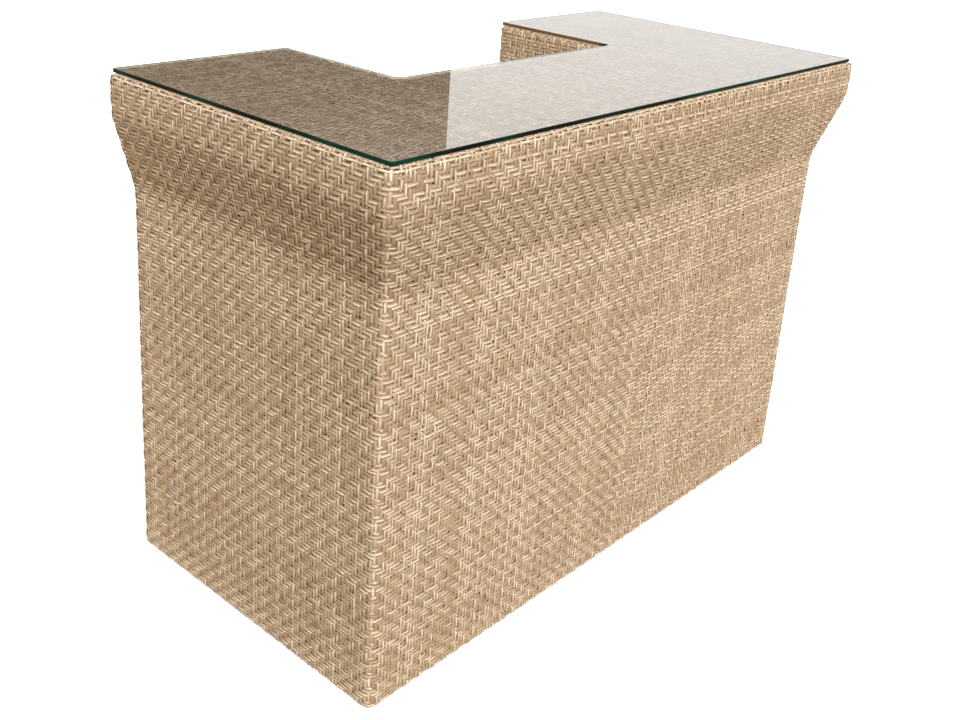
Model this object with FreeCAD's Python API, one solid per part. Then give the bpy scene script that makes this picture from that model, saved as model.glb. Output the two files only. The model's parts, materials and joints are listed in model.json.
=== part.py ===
"""U-shaped woven bar: a flared front counter with two wings, under a one-piece glass top.

Millimetres, +Z up. The origin is on the floor, under the middle of the bar's box.
X runs along the counter, -Y is the guests' side and +Y the bartender's side.
"""
import FreeCAD, Part
import math
import os

Vec = FreeCAD.Vector
UP = Vec(0, 0, 1)

# Overall size
BAR_LENGTH = 1570.0          # over the fascia, end to end
BAR_DEPTH = 780.0            # front fascia to the backs of the wings
BAR_HEIGHT = 1070.0          # floor to the top of the glass
WING_WIDTH = 435.0           # end fascia to the wing's inner wall
COUNTER_DEPTH = 435.0        # front fascia to the back of the counter

# Flared head
OVERHANG = 47.0              # fascia beyond the wall below it
FLARE_HEIGHT = 206.0         # from the end of the upright wall to the fascia
FLARE_RADIUS = 165.0         # of both bends of the flare
FASCIA_HEIGHT = 54.0         # upright band above the flare
ROLL_RADIUS = 12.0           # where the weave rolls over on to the deck
RIM_WIDTH = 22.0             # from the fascia to the edge of the deck panel

# Woven skin
WEAVE = 4.0                  # thickness
SKIN_GROUND_GAP = 4.0        # floor to the lower edge
HEM_RADIUS = 3.0             # rounding of the lower edge
CONCAVE_RADIUS = 8.0         # where a wing meets the counter, inside
APRON_HEIGHT = 110.0         # woven band over the shelf bay
JAMB_WIDTH = 8.0             # woven jamb each side of the shelf bay

# Glass top
GLASS = 8.0
GLASS_SETBACK = 10.0         # from the front and end fascias
GLASS_INNER_SETBACK = 5.0    # from the bartender's side
GLASS_CORNER = 5.0
GLASS_NOTCH_RADIUS = 14.0    # inside corners
GLASS_EASE = 1.0             # eased edges, top and bottom
BUMPER_HEIGHT = 2.0
BUMPER_RADIUS = 9.0
BUMPER_INSET = 45.0          # from the edge of the glass

# Welded frame
TUBE = 25.0                  # across the rails and posts
TUBE_WALL = 1.8
POST_CLEARANCE = 0.3         # round corner posts stand clear of the skin
POST_WALL = 2.0
NOSING = 20.0                # square tube under the rolled rim
NOSING_INSET = 16.0          # from the fascia
GUSSET = 6.0                 # plate thickness
GUSSET_PITCH = 245.0         # most room between two gussets
GUSSET_CLEARANCE = 0.3       # to the skin
SHOULDER_RISE = 35.0         # shoulder rail above the start of the flare
DECK_BAR = 20.0
DECK_BAR_PITCH = 170.0       # most room between two deck bars

# Shelf bay
SHELF_THICKNESS = 28.0
LOWER_SHELF_TOP = 100.0
UPPER_SHELF_TOP = 520.0
SHELF_SIDE_GAP = 2.0
SHELF_SETBACK = 14.0         # behind the counter's back edge
SHELF_TUBE_GAP = 0.5         # round the tubes inside the woven sleeve
CLEAT = 20.0
CLEAT_WALL = 1.6
CLEAT_END_GAP = 12.0

# Levelling feet
FRAME_GROUND_GAP = 12.0      # floor to the underside of the frame
FOOT_RADIUS = 10.0
FOOT_DISC = 5.0              # height of the disc on the floor
NUT_RADIUS = 8.0             # of the foot's hexagon, to its corners
FOOT_EASE = 1.2
STEM_RADIUS = 4.0
STEM_LENGTH = 38.0           # above the hexagon
STEM_CLEARANCE = 0.06
BUSH_FLANGE = 2.0
BUSH_LENGTH = 20.0
BUSH_CLEARANCE = 0.1         # to the inside of the post

# Levels and planes that follow from the sizes above
HALF_LENGTH = BAR_LENGTH / 2
HALF_DEPTH = BAR_DEPTH / 2
GLASS_BASE = BAR_HEIGHT - GLASS
DECK_TOP = GLASS_BASE - BUMPER_HEIGHT
DECK_BASE = DECK_TOP - WEAVE
FASCIA_BASE = DECK_TOP - FASCIA_HEIGHT
FLARE_BASE = FASCIA_BASE - FLARE_HEIGHT
WALL_X = HALF_LENGTH - OVERHANG
WALL_Y = -HALF_DEPTH + OVERHANG
BACK_Y = HALF_DEPTH
GAP_X = HALF_LENGTH - WING_WIDTH
GAP_Y = -HALF_DEPTH + COUNTER_DEPTH
BAY_X = GAP_X - JAMB_WIDTH
CORNER_RADIUS = TUBE / 2 + WEAVE
POST_RADIUS = TUBE / 2 - POST_CLEARANCE

# Faces that the frame stands against, inside the skin
END_FACE = WALL_X - WEAVE
FRONT_FACE = WALL_Y + WEAVE
BACK_FACE = BACK_Y - WEAVE
WING_FACE = GAP_X + WEAVE
BAY_FACE = BAY_X + WEAVE
COUNTER_FACE = GAP_Y - WEAVE
LINER_FACE = FRONT_FACE + TUBE
BAY_BACK = LINER_FACE + WEAVE

# Heights of the rails
BOTTOM_RAIL = FRAME_GROUND_GAP
SHOULDER_RAIL = FLARE_BASE + SHOULDER_RISE
TOP_RAIL = DECK_BASE - TUBE
POST_TOP = DECK_TOP - ROLL_RADIUS

LEFT, RIGHT = -1, 1
SIDES = {"left": LEFT, "right": RIGHT}
FAR = BAR_LENGTH + BAR_HEIGHT   # longer than anything in the bar
NEAR = 0.5                      # how close a point counts as on a plane


def box(x, y, z):
    """A block between two values on each axis, given in either order."""
    low = Vec(min(x), min(y), min(z))
    return Part.makeBox(max(x) - low.x, max(y) - low.y, max(z) - low.z, low)


def prism(points, z):
    """A plan outline raised between two heights."""
    corners = [Vec(px, py, z[0]) for px, py in points]
    return Part.Face(Part.makePolygon(corners + corners[:1])).extrude(UP * (z[1] - z[0]))


def mirrored(shape, side):
    """The shape as drawn on the right, or its copy on the left."""
    if side == RIGHT:
        return shape
    return shape.mirror(Vec(0, 0, 0), Vec(1, 0, 0))


def square_tube(x, y, z, along, wall=TUBE_WALL):
    """A square tube, open at both ends, running along one axis."""
    spans = {"x": x, "y": y, "z": z}
    hollow = {}
    for axis, (start, end) in spans.items():
        low, high = min(start, end), max(start, end)
        grow = FAR if axis == along else -wall
        hollow[axis] = (low - grow, high + grow)
    return box(x, y, z).cut(box(hollow["x"], hollow["y"], hollow["z"]))


def near(value, plane):
    return abs(value - plane) < NEAR


def steps(start, end, most):
    """Evenly spaced places from start to end, no further apart than most."""
    count = max(1, math.ceil(abs(end - start) / most))
    return [start + (end - start) * i / count for i in range(count + 1)]


# The woven skin is one shell between two envelopes, cut into its panels.

def flare_lean():
    """Lean of the straight part of the flare, from upright."""
    across = 2 * FLARE_RADIUS - OVERHANG
    reach = math.hypot(FLARE_HEIGHT, across)
    return math.asin(2 * FLARE_RADIUS / reach) - math.atan2(across, FLARE_HEIGHT)


def flare_edges(inset, bottom, top, place):
    """Edges of the wall, flare and fascia, moved in by inset, from the bottom up."""
    lean = flare_lean()
    low, high = FLARE_RADIUS + inset, FLARE_RADIUS - inset

    def hollow_bend(angle):
        return place(FLARE_RADIUS - low * math.cos(angle), FLARE_BASE + low * math.sin(angle))

    def round_bend(angle):
        centre = OVERHANG - FLARE_RADIUS
        return place(centre + high * math.cos(angle), FASCIA_BASE - high * math.sin(angle))

    return [
        Part.makeLine(place(-inset, bottom), hollow_bend(0)),
        Part.Arc(hollow_bend(0), hollow_bend(lean / 2), hollow_bend(lean)).toShape(),
        Part.makeLine(hollow_bend(lean), round_bend(lean)),
        Part.Arc(round_bend(lean), round_bend(lean / 2), round_bend(0)).toShape(),
        Part.makeLine(round_bend(0), place(OVERHANG - inset, top)),
    ]


def closed_face(*chains):
    """A face inside chains of edges, joined end to end by straight lines."""
    edges = []
    for i, chain in enumerate(chains):
        following = chains[(i + 1) % len(chains)]
        edges += chain
        edges.append(Part.makeLine(chain[-1].Vertexes[-1].Point, following[0].Vertexes[0].Point))
    return Part.Face(Part.Wire(edges))


def backwards(edges):
    """The same chain of lines and arcs, from its other end."""
    turned = []
    for edge in reversed(edges):
        middle = edge.valueAt((edge.FirstParameter + edge.LastParameter) / 2)
        first, last = edge.Vertexes[0].Point, edge.Vertexes[-1].Point
        straight = edge.Curve.TypeId == "Part::GeomLine"
        turned.append(Part.makeLine(last, first) if straight else Part.Arc(last, middle, first).toShape())
    return turned


def envelope(inset, bottom):
    """The bar's closed outer form under the glass, moved in by inset all round."""
    top = DECK_TOP - inset
    front = flare_edges(inset, bottom, top, lambda out, z: Vec(-FAR / 2, WALL_Y - out, z))
    back = [Part.makeLine(Vec(-FAR / 2, BACK_Y - inset, top), Vec(-FAR / 2, BACK_Y - inset, bottom))]
    lengthwise = closed_face(front, back).extrude(Vec(FAR, 0, 0))
    right = flare_edges(inset, bottom, top, lambda out, z: Vec(WALL_X + out, -FAR / 2, z))
    left = flare_edges(inset, bottom, top, lambda out, z: Vec(-WALL_X - out, -FAR / 2, z))
    crosswise = closed_face(right, backwards(left)).extrude(Vec(0, FAR, 0))
    gap = box((-GAP_X - inset, GAP_X + inset), (GAP_Y - inset, FAR), (-FAR, FAR))
    form = lengthwise.common(crosswise).cut(gap).Solids[0]

    def uprights(wanted):
        """The edges that climb and whose middle is in the wanted place."""
        climbing = [e for e in form.Edges if e.BoundBox.ZLength > WEAVE]
        return [e for e in climbing if wanted(e.valueAt((e.FirstParameter + e.LastParameter) / 2))]

    def in_notch(point):
        return near(point.y, GAP_Y - inset) and near(abs(point.x), GAP_X + inset)

    def on_corner(point):
        outside = point.y < WALL_Y + TUBE and near(abs(point.x) - WALL_X, WALL_Y - point.y)
        return outside or near(point.y, BACK_Y - inset)

    form = form.makeFillet(CONCAVE_RADIUS + inset, uprights(in_notch)).Solids[0]
    form = form.makeFillet(CORNER_RADIUS - inset, uprights(on_corner)).Solids[0]
    rim = [e for e in form.Edges if near(e.BoundBox.ZMin, top)]
    return form.makeFillet(ROLL_RADIUS - inset, rim).Solids[0]


def woven_shell():
    """The whole skin, with rounded hem and the opening of the shelf bay."""
    outer = envelope(0.0, SKIN_GROUND_GAP)
    hem = [e for e in outer.Edges if near(e.BoundBox.ZMax, SKIN_GROUND_GAP)]
    outer = outer.makeFillet(HEM_RADIUS, hem)
    inner = envelope(WEAVE, -SKIN_GROUND_GAP)
    bay = box((-BAY_X, BAY_X), (COUNTER_FACE - WEAVE, GAP_Y + WEAVE), (-FAR, DECK_TOP - APRON_HEIGHT))
    return outer.cut(inner).cut(bay)


def skin_panels():
    """Every panel of the skin, by name."""
    shell = woven_shell()
    deck_x, deck_front, deck_back = HALF_LENGTH - RIM_WIDTH, RIM_WIDTH - HALF_DEPTH, BACK_Y - RIM_WIDTH
    notch_x, notch_y = GAP_X + RIM_WIDTH, GAP_Y - RIM_WIDTH
    deck_plan = [(-deck_x, deck_front), (deck_x, deck_front), (deck_x, deck_back), (notch_x, deck_back),
                 (notch_x, notch_y), (-notch_x, notch_y), (-notch_x, deck_back), (-deck_x, deck_back)]
    deck_space = prism(deck_plan, (DECK_BASE - WEAVE, BAR_HEIGHT))
    panels = {"top_deck": shell.common(deck_space)}
    walls = shell.cut(deck_space)

    wing_middle = (GAP_X + WALL_X) / 2
    mitre = HALF_LENGTH - wing_middle
    front_plan = [(-HALF_LENGTH, -HALF_DEPTH), (HALF_LENGTH, -HALF_DEPTH),
                  (wing_middle, mitre - HALF_DEPTH), (-wing_middle, mitre - HALF_DEPTH)]
    front_space = prism(front_plan, (0, BAR_HEIGHT))
    panels["front_skin"] = walls.common(front_space)
    height = (0, BAR_HEIGHT)
    for name, side in SIDES.items():
        end_space = box((side * wing_middle, side * FAR), (-FAR, deck_back), height).cut(front_space)
        inner_space = box((side * BAY_X, side * wing_middle), (mitre - HALF_DEPTH, deck_back), height)
        back_space = box((0, side * FAR), (deck_back, FAR), height)
        panels[f"{name}_end_skin"] = walls.common(end_space)
        panels[f"{name}_inner_skin"] = walls.common(inner_space)
        panels[f"{name}_back_skin"] = walls.common(back_space)
    panels["counter_apron"] = walls.common(box((-BAY_X, BAY_X), (mitre - HALF_DEPTH, FAR), height))
    return panels


def bay_panels():
    """Woven lining of the shelf bay: its back and two sides, with room for the counter rails."""
    rail_y = (COUNTER_FACE - TUBE, COUNTER_FACE)
    low_notch = box((-FAR, FAR), rail_y, (-FAR, BOTTOM_RAIL + TUBE))
    high_notch = box((-FAR, FAR), rail_y, (TOP_RAIL, FAR))
    sides = []
    for side in SIDES.values():
        panel = box((side * BAY_X, side * BAY_FACE), (LINER_FACE, COUNTER_FACE), (SKIN_GROUND_GAP, DECK_BASE))
        sides.append(panel.cut(low_notch).cut(high_notch))
    back = box((-BAY_X, BAY_X), (LINER_FACE, BAY_BACK), (SKIN_GROUND_GAP, TOP_RAIL))
    return {"bay_sides": sides, "bay_back": [back]}


# The welded frame: round tube where the weave turns over an edge, square tube elsewhere.

CORNER_POSTS = {
    "front": (END_FACE - TUBE / 2, FRONT_FACE + TUBE / 2),
    "back_outer": (END_FACE - TUBE / 2, BACK_FACE - TUBE / 2),
    "back_inner": (WING_FACE + TUBE / 2, BACK_FACE - TUBE / 2),
}
BAY_POST = (BAY_FACE + TUBE / 2, COUNTER_FACE - TUBE / 2)


def corner_post(centre, radius=POST_RADIUS):
    return Part.makeCylinder(radius, POST_TOP - BOTTOM_RAIL, Vec(*centre, BOTTOM_RAIL))


def posts():
    """Upright tubes: six round, two square at the bay and studs in the front wall."""
    found = {}
    for name, side in SIDES.items():
        for place, centre in CORNER_POSTS.items():
            tube = corner_post(centre).cut(corner_post(centre, POST_RADIUS - POST_WALL))
            found[f"{name}_{place}_post"] = [mirrored(tube, side)]
        bay_x = (side * BAY_FACE, side * (BAY_FACE + TUBE))
        bay_y = (COUNTER_FACE - TUBE, COUNTER_FACE)
        found[f"{name}_bay_post"] = [square_tube(bay_x, bay_y, (BOTTOM_RAIL, POST_TOP), "z")]
    found["front_studs"] = [
        square_tube((side * BAY_FACE, side * (BAY_FACE + TUBE)), (FRONT_FACE, LINER_FACE), (low, high), "z")
        for side in SIDES.values()
        for low, high in ((BOTTOM_RAIL + TUBE, SHOULDER_RAIL), (SHOULDER_RAIL + TUBE, TOP_RAIL))]
    return found


def round_bar(start, end, radius=TUBE / 2):
    """A solid bar just under the deck between two plan points."""
    level = DECK_BASE - TUBE / 2
    run = Vec(end[0] - start[0], end[1] - start[1], 0)
    return Part.makeCylinder(radius, run.Length, Vec(*start, level), run)


def round_rail_runs(side):
    """Plan ends of the round top rails of one wing: its back and its inner side."""
    outer, inner = CORNER_POSTS["back_outer"], CORNER_POSTS["back_inner"]
    back = ((side * inner[0], inner[1]), (side * outer[0], outer[1]))
    inside = ((side * inner[0], COUNTER_FACE), (side * inner[0], inner[1]))
    return back, inside


COUNTER_RAIL_RUN = ((-BAY_FACE, BAY_POST[1]), (BAY_FACE, BAY_POST[1]))


def round_tube(run):
    return round_bar(*run).cut(round_bar(*run, TUBE / 2 - TUBE_WALL))


def coped(rail, along):
    """A rail cut to the round posts that it meets, and mitred to the rail across it."""
    for x, y in CORNER_POSTS.values():
        for side in SIDES.values():
            post = mirrored(corner_post((x, y)), side)
            if not rail.BoundBox.intersect(post.BoundBox):
                continue
            rail = rail.cut(post)
            for way in (-TUBE, TUBE):
                far = [(way, TUBE), (way, -TUBE)] if along == "y" else [(TUBE, way), (-TUBE, way)]
                wedge = [(side * x, y)] + [(side * x + dx, y + dy) for dx, dy in far]
                rail = rail.cut(prism(wedge, (0, BAR_HEIGHT)))
    return rail


def rails():
    """Level tubes: a ring at the bottom and the top, and shoulder rails under the flare."""
    found = {}
    front_x, front_y = CORNER_POSTS["front"]
    back_y = CORNER_POSTS["back_outer"][1]
    inner_x = CORNER_POSTS["back_inner"][0]
    for level, low in (("bottom", BOTTOM_RAIL), ("shoulder", SHOULDER_RAIL), ("top", TOP_RAIL)):
        z = (low, low + TUBE)
        front = square_tube((-front_x, front_x), (FRONT_FACE, LINER_FACE), z, "x")
        found[f"front_{level}_rail"] = [coped(front, "x")]
        for name, side in SIDES.items():
            end_x = (side * (END_FACE - TUBE), side * END_FACE)
            found[f"{name}_{level}_rail"] = [coped(square_tube(end_x, (front_y, back_y), z, "y"), "y")]
    backs, inners, top_backs, top_inners = [], [], [], []
    z = (BOTTOM_RAIL, BOTTOM_RAIL + TUBE)
    bay_y = (LINER_FACE, COUNTER_FACE - TUBE)
    for side in SIDES.values():
        wing_x = (side * WING_FACE, side * (WING_FACE + TUBE))
        bay_x = (side * BAY_FACE, side * (BAY_FACE + TUBE))
        back_x = (side * inner_x, side * front_x)
        backs.append(coped(square_tube(back_x, (BACK_FACE - TUBE, BACK_FACE), z, "x"), "x"))
        inners.append(coped(square_tube(wing_x, (COUNTER_FACE, back_y), z, "y"), "y"))
        inners.append(square_tube(bay_x, bay_y, z, "y"))
        back_run, inner_run = round_rail_runs(side)
        top_backs.append(coped(round_tube(back_run), "x"))
        top_inners.append(coped(round_tube(inner_run), "y"))
        top_inners.append(square_tube(bay_x, bay_y, (TOP_RAIL, DECK_BASE), "y"))
    counter_y = (COUNTER_FACE - TUBE, COUNTER_FACE)
    found["back_bottom_rails"] = backs
    found["inner_bottom_rails"] = inners
    found["counter_bottom_rail"] = [square_tube((-BAY_FACE, BAY_FACE), counter_y, z, "x")]
    found["back_top_rails"] = top_backs
    found["inner_top_rails"] = top_inners
    found["counter_top_rail"] = [round_tube(COUNTER_RAIL_RUN)]
    return found


def gusset_plate():
    """One flare gusset, flat in the YZ plane: its front edge follows the inside of the flare."""
    inset = WEAVE + GUSSET_CLEARANCE
    low = SHOULDER_RAIL + TUBE / 2
    ledge = DECK_BASE - NOSING
    stop = OVERHANG - NOSING_INSET - NOSING

    def place(out, z):
        return Vec(-GUSSET / 2, WALL_Y - out, z)

    flare = flare_edges(inset, FLARE_BASE - TUBE, ledge, place)
    upright = [Part.makeLine(place(stop, ledge), place(stop, DECK_BASE)),
               Part.makeLine(place(stop, DECK_BASE), place(-WEAVE, DECK_BASE)),
               Part.makeLine(place(-WEAVE, DECK_BASE), place(-WEAVE, FLARE_BASE - TUBE))]
    plate = closed_face(flare, upright).extrude(Vec(GUSSET, 0, 0))
    return plate.cut(box((-FAR, FAR), (-FAR, FAR), (-FAR, low)))


def head():
    """What carries the overhang: gussets, nosing tubes and the bars under the deck."""
    found = {}
    plate = gusset_plate()
    reach = CORNER_POSTS["front"][0] - GUSSET / 2
    found["front_gussets"] = [plate.translated(Vec(x, 0, 0)) for x in steps(-reach, reach, GUSSET_PITCH)]
    end_plate = plate.copy()
    end_plate.rotate(Vec(0, 0, 0), UP, 90)
    end_plate.translate(Vec(WALL_X + WALL_Y, 0, 0))
    end_reach = (CORNER_POSTS["front"][1] + GUSSET / 2, CORNER_POSTS["back_outer"][1] - GUSSET / 2)
    end_y = steps(*end_reach, GUSSET_PITCH)
    z = (DECK_BASE - NOSING, DECK_BASE)
    outer, inner = NOSING_INSET, NOSING_INSET + NOSING
    front_y = (outer - HALF_DEPTH, inner - HALF_DEPTH)
    found["front_nosing"] = [square_tube((outer - HALF_LENGTH, HALF_LENGTH - outer), front_y, z, "x")]
    for name, side in SIDES.items():
        found[f"{name}_gussets"] = [mirrored(end_plate.translated(Vec(0, y, 0)), side) for y in end_y]
        end_x = (side * (HALF_LENGTH - outer), side * (HALF_LENGTH - inner))
        nosing_y = (inner - HALF_DEPTH, BACK_Y - ROLL_RADIUS)
        found[f"{name}_nosing"] = [square_tube(end_x, nosing_y, z, "y")]

    bars = []
    bar_z = (DECK_BASE - DECK_BAR, DECK_BASE)
    for x in steps(-BAY_FACE, BAY_FACE, DECK_BAR_PITCH)[1:-1]:
        bar_x = (x - DECK_BAR / 2, x + DECK_BAR / 2)
        bar = square_tube(bar_x, (LINER_FACE, BAY_POST[1]), bar_z, "y")
        bars.append(bar.cut(round_bar(*COUNTER_RAIL_RUN)))
    for side in SIDES.values():
        inner_run = round_rail_runs(side)[1]
        for y in steps(LINER_FACE, BACK_FACE - TUBE, DECK_BAR_PITCH)[1:-1]:
            beside_bay = y - DECK_BAR / 2 < COUNTER_FACE
            inside = BAY_FACE + TUBE if beside_bay else CORNER_POSTS["back_inner"][0]
            bar_x = (side * inside, side * (END_FACE - TUBE))
            bar = square_tube(bar_x, (y - DECK_BAR / 2, y + DECK_BAR / 2), bar_z, "x")
            bars.append(bar.cut(round_bar(*inner_run)))
    found["deck_bars"] = bars
    return found


# Shelves, glass and feet

def shelves():
    """Two woven shelves: a sleeve over a welded tube frame, on cleats along the bay's sides."""
    found = {}
    half = BAY_X - SHELF_SIDE_GAP
    y = (BAY_BACK + SHELF_SIDE_GAP, GAP_Y - SHELF_SETBACK)
    core = WEAVE + SHELF_TUBE_GAP
    cleats, ledgers = [], []
    for name, top in (("lower", LOWER_SHELF_TOP), ("upper", UPPER_SHELF_TOP)):
        z = (top - SHELF_THICKNESS, top)
        found[f"{name}_shelf"] = [square_tube((-half, half), y, z, "x", WEAVE)]
        tube = SHELF_THICKNESS - 2 * WEAVE
        tube_z = (z[0] + WEAVE, z[1] - WEAVE)
        tube_y = (y[0] + core, y[1] - core)
        front = square_tube((-half, half), (tube_y[0], tube_y[0] + tube), tube_z, "x", CLEAT_WALL)
        back = square_tube((-half, half), (tube_y[1] - tube, tube_y[1]), tube_z, "x", CLEAT_WALL)
        cross = [square_tube((x - tube / 2, x + tube / 2), (tube_y[0] + tube, tube_y[1] - tube), tube_z, "y",
                             CLEAT_WALL) for x in steps(tube / 2 - half, half - tube / 2, BAY_X)]
        found[f"{name}_shelf_frame"] = [front, back] + cross
        for side in SIDES.values():
            cleat_x = (side * BAY_X, side * (BAY_X - CLEAT))
            cleat_y = (y[0] + CLEAT_END_GAP, y[1] - CLEAT_END_GAP)
            cleats.append(square_tube(cleat_x, cleat_y, (z[0] - CLEAT, z[0]), "y", CLEAT_WALL))
            ledger_x = (side * BAY_FACE, side * (BAY_FACE + TUBE))
            ledger_z = (z[0] - CLEAT / 2 - TUBE / 2, z[0] - CLEAT / 2 + TUBE / 2)
            ledgers.append(square_tube(ledger_x, (LINER_FACE, COUNTER_FACE - TUBE), ledger_z, "y"))
    found["shelf_cleats"] = cleats
    found["shelf_ledgers"] = ledgers
    return found


def glass_plan():
    """Half length, front, back and notch of the glass."""
    return (HALF_LENGTH - GLASS_SETBACK, GLASS_SETBACK - HALF_DEPTH, BACK_Y - GLASS_INNER_SETBACK,
            GAP_X + GLASS_INNER_SETBACK, GAP_Y - GLASS_INNER_SETBACK)


def glass_top():
    """One U-shaped sheet with eased edges."""
    half, front, back, notch_x, notch_y = glass_plan()
    plan = [(-half, front), (half, front), (half, back), (notch_x, back), (notch_x, notch_y),
            (-notch_x, notch_y), (-notch_x, back), (-half, back)]
    sheet = prism(plan, (GLASS_BASE, BAR_HEIGHT))

    def uprights(inside):
        picked = [e for e in sheet.Edges if e.BoundBox.ZLength > GLASS / 2]
        return [e for e in picked if near(e.CenterOfMass.y, notch_y) == inside]

    sheet = sheet.makeFillet(GLASS_CORNER, uprights(False))
    sheet = sheet.makeFillet(GLASS_NOTCH_RADIUS, [
        e for e in uprights(True) if near(abs(e.CenterOfMass.x), notch_x)])
    level = [e for e in sheet.Edges if e.BoundBox.ZLength < NEAR]
    return sheet.makeChamfer(GLASS_EASE, level)


def bumpers():
    """Clear pads between the deck and the glass, near its edges."""
    half, front, back, notch_x, notch_y = glass_plan()
    outer_x, front_y, back_y = half - BUMPER_INSET, front + BUMPER_INSET, back - BUMPER_INSET
    inner_x, rear_y = notch_x + BUMPER_INSET, notch_y - BUMPER_INSET
    middle_y = (front_y + back_y) / 2
    places = [(0, front_y), (0, rear_y)]
    for side in SIDES.values():
        places += [(side * outer_x, front_y), (side * outer_x, middle_y), (side * outer_x, back_y),
                   (side * inner_x, back_y), (side * inner_x, rear_y), (side * outer_x / 2, front_y)]
    return [Part.makeCylinder(BUMPER_RADIUS, BUMPER_HEIGHT, Vec(x, y, DECK_TOP)) for x, y in places]


def foot():
    """A levelling foot at the origin: disc, hexagon and stem."""
    nut_top = FRAME_GROUND_GAP - BUSH_FLANGE
    disc = Part.makeCylinder(FOOT_RADIUS, FOOT_DISC)
    disc = disc.makeFillet(FOOT_EASE, [e for e in disc.Edges if e.Closed])
    corners = [Vec(NUT_RADIUS * math.cos(math.radians(60 * i)), NUT_RADIUS * math.sin(math.radians(60 * i)),
                   FOOT_DISC) for i in range(7)]
    nut = Part.Face(Part.makePolygon(corners)).extrude(UP * (nut_top - FOOT_DISC))
    stem = Part.makeCylinder(STEM_RADIUS, STEM_LENGTH, Vec(0, 0, nut_top))
    return disc.fuse([nut, stem]).removeSplitter()


def bush():
    """A flanged bush in the lower end of a post, bored for the stem."""
    low = FRAME_GROUND_GAP - BUSH_FLANGE
    barrel = Part.makeCylinder(POST_RADIUS - POST_WALL - BUSH_CLEARANCE, BUSH_LENGTH, Vec(0, 0, low))
    flange = Part.makeCylinder(POST_RADIUS, BUSH_FLANGE, Vec(0, 0, low))
    bore = Part.makeCylinder(STEM_RADIUS + STEM_CLEARANCE, BUSH_LENGTH, Vec(0, 0, low))
    return barrel.fuse(flange).removeSplitter().cut(bore)


def feet():
    """A foot under every full-height post, and the bushes that they screw into."""
    found, bushes = {}, []
    for name, side in SIDES.items():
        for place, (x, y) in {**CORNER_POSTS, "bay": BAY_POST}.items():
            spot = Vec(side * x, y, 0)
            found[f"{name}_{place}_foot"] = [foot().translated(spot)]
            bushes.append(bush().translated(spot))
    found["foot_bushes"] = bushes
    return found


def all_pieces():
    """Every node of the bar, as a list of solids."""
    pieces = {name: [panel] for name, panel in skin_panels().items()}
    for group in (bay_panels(), posts(), rails(), head(), shelves(), feet()):
        pieces.update(group)
    pieces["glass_top"] = [glass_top()]
    pieces["glass_bumpers"] = bumpers()
    return pieces


def export(pieces):
    os.makedirs("parts", exist_ok=True)
    for name, shapes in pieces.items():
        solids = [solid for shape in shapes for solid in shape.Solids]
        node = solids[0] if len(solids) == 1 else Part.makeCompound(solids)
        node.exportStep(f"parts/{name}.step")


export(all_pieces())
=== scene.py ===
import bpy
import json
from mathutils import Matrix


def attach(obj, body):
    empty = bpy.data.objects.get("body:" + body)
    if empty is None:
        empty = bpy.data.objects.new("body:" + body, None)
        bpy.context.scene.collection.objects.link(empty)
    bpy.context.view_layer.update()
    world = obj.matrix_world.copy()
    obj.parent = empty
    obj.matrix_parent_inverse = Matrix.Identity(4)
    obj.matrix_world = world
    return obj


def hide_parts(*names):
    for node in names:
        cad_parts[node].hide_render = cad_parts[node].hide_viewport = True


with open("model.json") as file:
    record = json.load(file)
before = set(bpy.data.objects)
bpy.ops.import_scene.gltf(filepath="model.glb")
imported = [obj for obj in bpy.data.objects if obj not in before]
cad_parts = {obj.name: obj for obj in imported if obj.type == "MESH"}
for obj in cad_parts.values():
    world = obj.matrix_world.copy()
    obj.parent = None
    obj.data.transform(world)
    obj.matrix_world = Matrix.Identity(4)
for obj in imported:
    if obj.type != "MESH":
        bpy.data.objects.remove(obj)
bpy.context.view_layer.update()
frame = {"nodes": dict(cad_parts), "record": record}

import json
import math

import bpy
import numpy as np
from mathutils import Matrix, Quaternion, Vector

MM = 0.001
rng = np.random.default_rng(11)

# The bar's sizes in millimetres, as in the part. Only the roll of the rim is squarer than the part's.
WALL_X, WALL_Y, BACK_Y = 738.0, -343.0, 390.0
GAP_X, GAP_Y, BAY_X = 350.0, 45.0, 342.0
OVERHANG, FLARE_BASE, FASCIA_BASE, FLARE_RADIUS = 47.0, 800.0, 1006.0, 165.0
ROLL_RADIUS, RIM_WIDTH, DECK_TOP, SKIN_BASE = 7.0, 22.0, 1060.0, 4.0
CORNER_RADIUS, CONCAVE_RADIUS, APRON_BASE = 16.5, 8.0, 950.0
SPLIT_Y = BACK_Y - RIM_WIDTH
BAY_BACK, LINER_FACE, COUNTER_FACE = -310.0, -314.0, 41.0
COUNTER_RAIL_Y, COUNTER_RAIL_TOP, BAY_TOP = 16.0, 37.0, 1020.0
SHELF_HALF, SHELF_BACK, SHELF_FRONT, SHELF_THICKNESS = 340.0, -308.0, 31.0, 28.0
SHELF_TURN = 6.0
SHELF_TOPS = {"lower": 100.0, "upper": 520.0}

# How many strands the weave has, and how they cross.
TARGET_PITCH = 8.6          # aimed at between strands, before each wall takes a whole number of them
ROWS, FRONT_COLUMNS = 126, 168
END_RUN, BACK_RUN, INNER_RUN = 706.0, 455.0, 328.0   # lengths that the columns of a wing's walls share
ROW_TREND = 0.0625          # share by which the rows lie closer at the hem and wider at the rim
TWILL_REPEAT, FLOAT_LENGTH = 4, 2   # strands after which the twill repeats, and that a float crosses
TWILL_TURN = 87             # column at the middle of the front, where the twill leans the other way
CROSSING = 0.2              # share of the pitch from a gap to where the strand lies level
HEM_GAP, PANEL_GAP = 0.06, 0.05   # share of a row by which upright strands stop short at a lower edge
RIM_ROW = ROWS - 2.5        # the row of the rolled rim where the painted highlight is brightest
BEND_COLUMNS = 2.6          # from the end of a wing's back to the middle of its bend

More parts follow.
